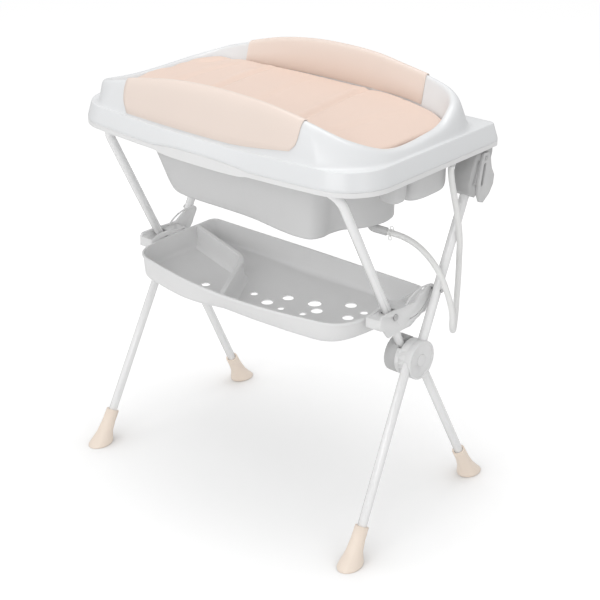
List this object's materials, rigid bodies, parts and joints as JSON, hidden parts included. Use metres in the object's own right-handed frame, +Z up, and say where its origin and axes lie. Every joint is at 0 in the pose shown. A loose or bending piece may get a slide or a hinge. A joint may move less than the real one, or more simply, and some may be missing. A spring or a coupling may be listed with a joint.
{
  "type": "changing table",
  "caption": "folding baby bath stand with a padded changing top over a hanging bath, an open utility tray, crossed white tube frames on round hubs and a drain hose",
  "frame": {"origin": "on the floor, under the middle of the object's bounding box measured without the hose; the middle of the length lies half way between the two hubs", "axes": "+Z up, +X along the length towards the drain end, -Y towards the front edge that the user stands at"},
  "size_m": [0.8241, 0.534, 0.9617],
  "materials": {
    "white_plastic": "white moulded plastic, satin",
    "peach_plastic": "pale peach moulded plastic, satin",
    "pad_cover": "pale peach wipe-clean vinyl over thin foam",
    "white_tube": "steel tube powder coated white",
    "grey_plastic": "light grey moulded plastic, fine satin grain",
    "hose_plastic": "soft white hose and clamp",
    "stopper": "grey rubber stopper",
    "bright_steel": "zinc plated steel"
  },
  "bodies": {
    "front_frame": {"front_upright_left": "white_tube", "front_upright_right": "white_tube", "rear_leg_left": "white_tube", "rear_leg_right": "white_tube", "rear_foot_left": "peach_plastic", "rear_foot_right": "peach_plastic", "hub_inner_drum_left": "grey_plastic", "hub_inner_drum_right": "grey_plastic", "hub_axle_left": "bright_steel", "hub_axle_right": "bright_steel", "tray_bolt_left": "bright_steel", "tray_bolt_right": "bright_steel", "front_crossbar": "white_tube"},
    "rear_frame": {"rear_upright_left": "white_tube", "rear_upright_right": "white_tube", "front_leg_left": "white_tube", "front_leg_right": "white_tube", "front_foot_left": "peach_plastic", "front_foot_right": "peach_plastic", "hub_outer_drum_left": "grey_plastic", "hub_outer_drum_right": "grey_plastic", "hub_cap_left": "grey_plastic", "hub_cap_right": "grey_plastic", "guide_pin_left": "bright_steel", "guide_pin_right": "bright_steel", "rear_catch_left": "grey_plastic", "rear_catch_right": "grey_plastic", "rear_crossbar": "white_tube"},
    "tray": {"tray": "grey_plastic", "tray_bracket_left": "grey_plastic", "tray_bracket_right": "grey_plastic"},
    "bath": {"bath_tub": "grey_plastic", "bath_clip_left": "grey_plastic", "bath_clip_right": "grey_plastic", "bath_saddle_left": "grey_plastic", "bath_saddle_right": "grey_plastic", "hinge_pin_left": "bright_steel", "hinge_pin_right": "bright_steel", "drain_spout": "grey_plastic", "hose_holder": "grey_plastic", "hose_clamp": "hose_plastic", "drain_hose": "hose_plastic"},
    "plug": {"drain_plug": "stopper"},
    "changer": {"changer_shell": "white_plastic", "guard_panel_front": "peach_plastic", "guard_panel_rear": "peach_plastic", "changing_mat": "pad_cover"},
    "button_left": {"hub_button_left": "grey_plastic"},
    "button_right": {"hub_button_right": "grey_plastic"},
    "lever_left": {"latch_lever_left": "grey_plastic"},
    "lever_right": {"latch_lever_right": "grey_plastic"}
  },
  "joints": [
    {"name": "stand_fold", "type": "hinge", "parent": "front_frame", "child": "rear_frame", "pos_m": [0, 0, 0.387], "axis": [1, 0, 0], "range_deg": [0, 33]},
    {"name": "tray_fold", "type": "hinge", "parent": "front_frame", "child": "tray", "pos_m": [0, -0.05629, 0.49749], "axis": [1, 0, 0], "range_deg": [0, 66.1]},
    {"name": "top_tip", "type": "hinge", "parent": "front_frame", "child": "bath", "pos_m": [0, -0.21111, 0.80132], "axis": [1, 0, 0], "range_deg": [0, 105.7], "deforming": ["drain_hose"]},
    {"name": "changer_flip", "type": "hinge", "parent": "bath", "child": "changer", "pos_m": [0, 0.233, 0.811], "axis": [-1, 0, 0], "range_deg": [0, 95]},
    {"name": "plug_lift", "type": "slide", "parent": "bath", "child": "plug", "axis": [0, 0, 1], "range_m": [0, 0.02]},
    {"name": "hub_button_left_press", "type": "slide", "parent": "rear_frame", "child": "button_left", "axis": [1, 0, 0], "range_m": [0, 0.003], "stiffness_N_per_m": 300},
    {"name": "latch_left_release", "type": "hinge", "parent": "rear_frame", "child": "lever_left", "pos_m": [-0.386, 0.188, 0.783], "axis": [1, 0, 0], "range_deg": [0, 20], "stiffness_Nm_per_rad": 0.05},
    {"name": "hub_button_right_press", "type": "slide", "parent": "rear_frame", "child": "button_right", "axis": [-1, 0, 0], "range_m": [0, 0.003], "stiffness_N_per_m": 300},
    {"name": "latch_right_release", "type": "hinge", "parent": "rear_frame", "child": "lever_right", "pos_m": [0.386, 0.188, 0.783], "axis": [1, 0, 0], "range_deg": [0, 20], "stiffness_Nm_per_rad": 0.05}
  ],
  "couplings": [
    {"joint": "tray_fold", "follows": "stand_fold", "ratio": 2},
    {"joint": "top_tip", "follows": "stand_fold", "ratio": 3.2}
  ]
}
